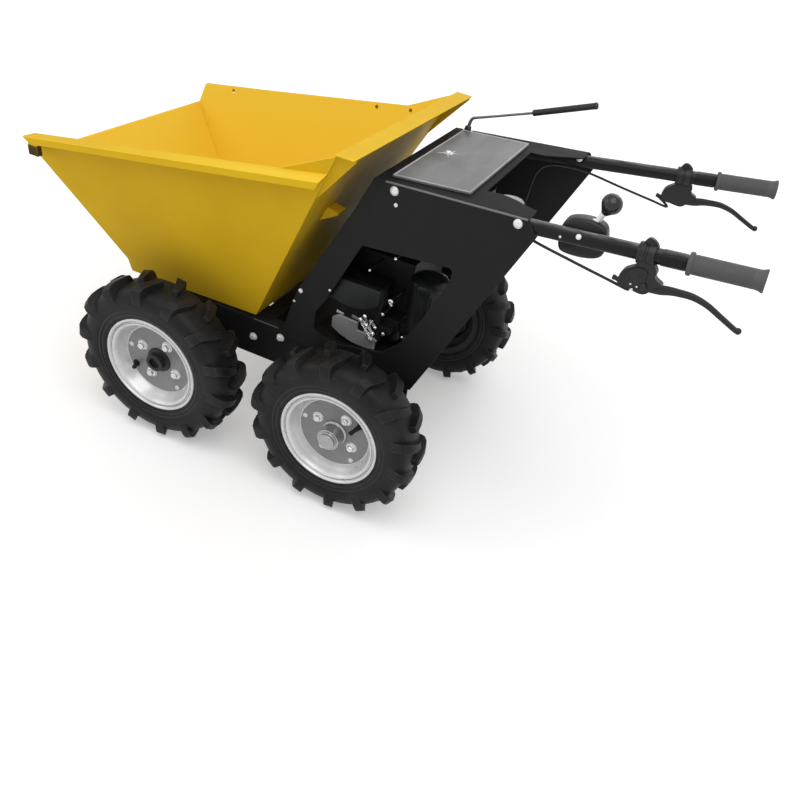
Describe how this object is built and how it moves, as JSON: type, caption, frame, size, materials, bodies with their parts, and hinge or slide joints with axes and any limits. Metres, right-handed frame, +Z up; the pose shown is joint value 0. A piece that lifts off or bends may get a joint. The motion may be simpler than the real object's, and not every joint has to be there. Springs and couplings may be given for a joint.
{
  "type": "walk-behind four-wheel mini dumper",
  "caption": "Walk-behind mini dumper: tipping sheet-metal skip and engine body on a short chassis with lugged wheels, two handles with brake levers, gear shifter and skip release.",
  "frame": {"origin": "on the ground, under the middle of the overall length and width", "axes": "+X forward (towards the skip's front), +Y left, +Z up"},
  "size_m": [1.5042, 0.77, 0.892],
  "materials": {
    "skip_yellow": "semi-gloss yellow powder coat",
    "frame_black": "semi-gloss black powder coat",
    "tray_grey": "scuffed grey metal",
    "wheel_silver": "satin silver paint",
    "tyre_rubber": "matt moulded rubber",
    "hub_steel": "turned and zinc-plated",
    "hub_black": "black paint",
    "engine_dark": "dark cast housing",
    "engine_silver": "satin cast aluminium",
    "grip_rubber": "matt moulded rubber",
    "tube_black": "semi-gloss black powder coat",
    "lever_black": "satin black",
    "cable_black": "black sheath",
    "zinc": "bright zinc plate",
    "knob_black": "gloss moulding"
  },
  "bodies": {
    "chassis": {"chassis_rail_left": "frame_black", "chassis_rail_right": "frame_black", "chassis_crossmembers": "frame_black", "hinge_pin": "zinc", "axle_front": "frame_black", "axle_rear": "frame_black", "gearbox": "engine_dark", "propshaft": "frame_black", "engine_bed": "frame_black", "engine_block": "engine_dark", "engine_fan_cover": "engine_silver", "engine_air_cleaner": "engine_dark", "engine_fuel_tank": "engine_dark", "engine_muffler": "engine_dark", "engine_switch_box": "engine_dark", "engine_carburettor": "engine_silver", "body_plate_left": "frame_black", "body_plate_right": "frame_black", "body_front_panel": "frame_black", "body_deck": "frame_black", "deck_tray": "tray_grey", "handle_tube_left": "tube_black", "handle_tube_right": "tube_black", "grip_left": "grip_rubber", "grip_right": "grip_rubber", "brake_brackets": "lever_black", "brake_levers": "lever_black", "brake_cables": "cable_black", "shifter_housing": "lever_black", "shifter_lever": "knob_black", "release_lever": "zinc", "release_grip": "grip_rubber"},
    "skip": {"skip_side_left": "skip_yellow", "skip_side_right": "skip_yellow", "skip_floor": "skip_yellow", "skip_front": "skip_yellow", "skip_rear": "skip_yellow", "skip_hinge_brackets": "skip_yellow", "skip_catch": "skip_yellow"},
    "wheel_front_left": {"tyre_front_left": "tyre_rubber", "rim_front_left": "wheel_silver", "hub_front_left": "hub_black"},
    "wheel_front_right": {"tyre_front_right": "tyre_rubber", "rim_front_right": "wheel_silver", "hub_front_right": "hub_black"},
    "wheel_rear_left": {"tyre_rear_left": "tyre_rubber", "rim_rear_left": "wheel_silver", "hub_rear_left": "hub_steel"},
    "wheel_rear_right": {"tyre_rear_right": "tyre_rubber", "rim_rear_right": "wheel_silver", "hub_rear_right": "hub_steel"}
  },
  "joints": [
    {"name": "skip_tip", "type": "hinge", "parent": "chassis", "child": "skip", "pos_m": [0.514, 0, 0.296], "axis": [0, 1, 0], "range_deg": [0, 82]},
    {"name": "wheel_spin_front_left", "type": "hinge", "parent": "chassis", "child": "wheel_front_left", "pos_m": [0.416, 0.328, 0.203], "axis": [0, 1, 0], "continuous": true},
    {"name": "wheel_spin_front_right", "type": "hinge", "parent": "chassis", "child": "wheel_front_right", "pos_m": [0.416, -0.328, 0.203], "axis": [0, 1, 0], "continuous": true},
    {"name": "wheel_spin_rear_left", "type": "hinge", "parent": "chassis", "child": "wheel_rear_left", "pos_m": [-0.048, 0.328, 0.203], "axis": [0, 1, 0], "continuous": true},
    {"name": "wheel_spin_rear_right", "type": "hinge", "parent": "chassis", "child": "wheel_rear_right", "pos_m": [-0.048, -0.328, 0.203], "axis": [0, 1, 0], "continuous": true}
  ]
}
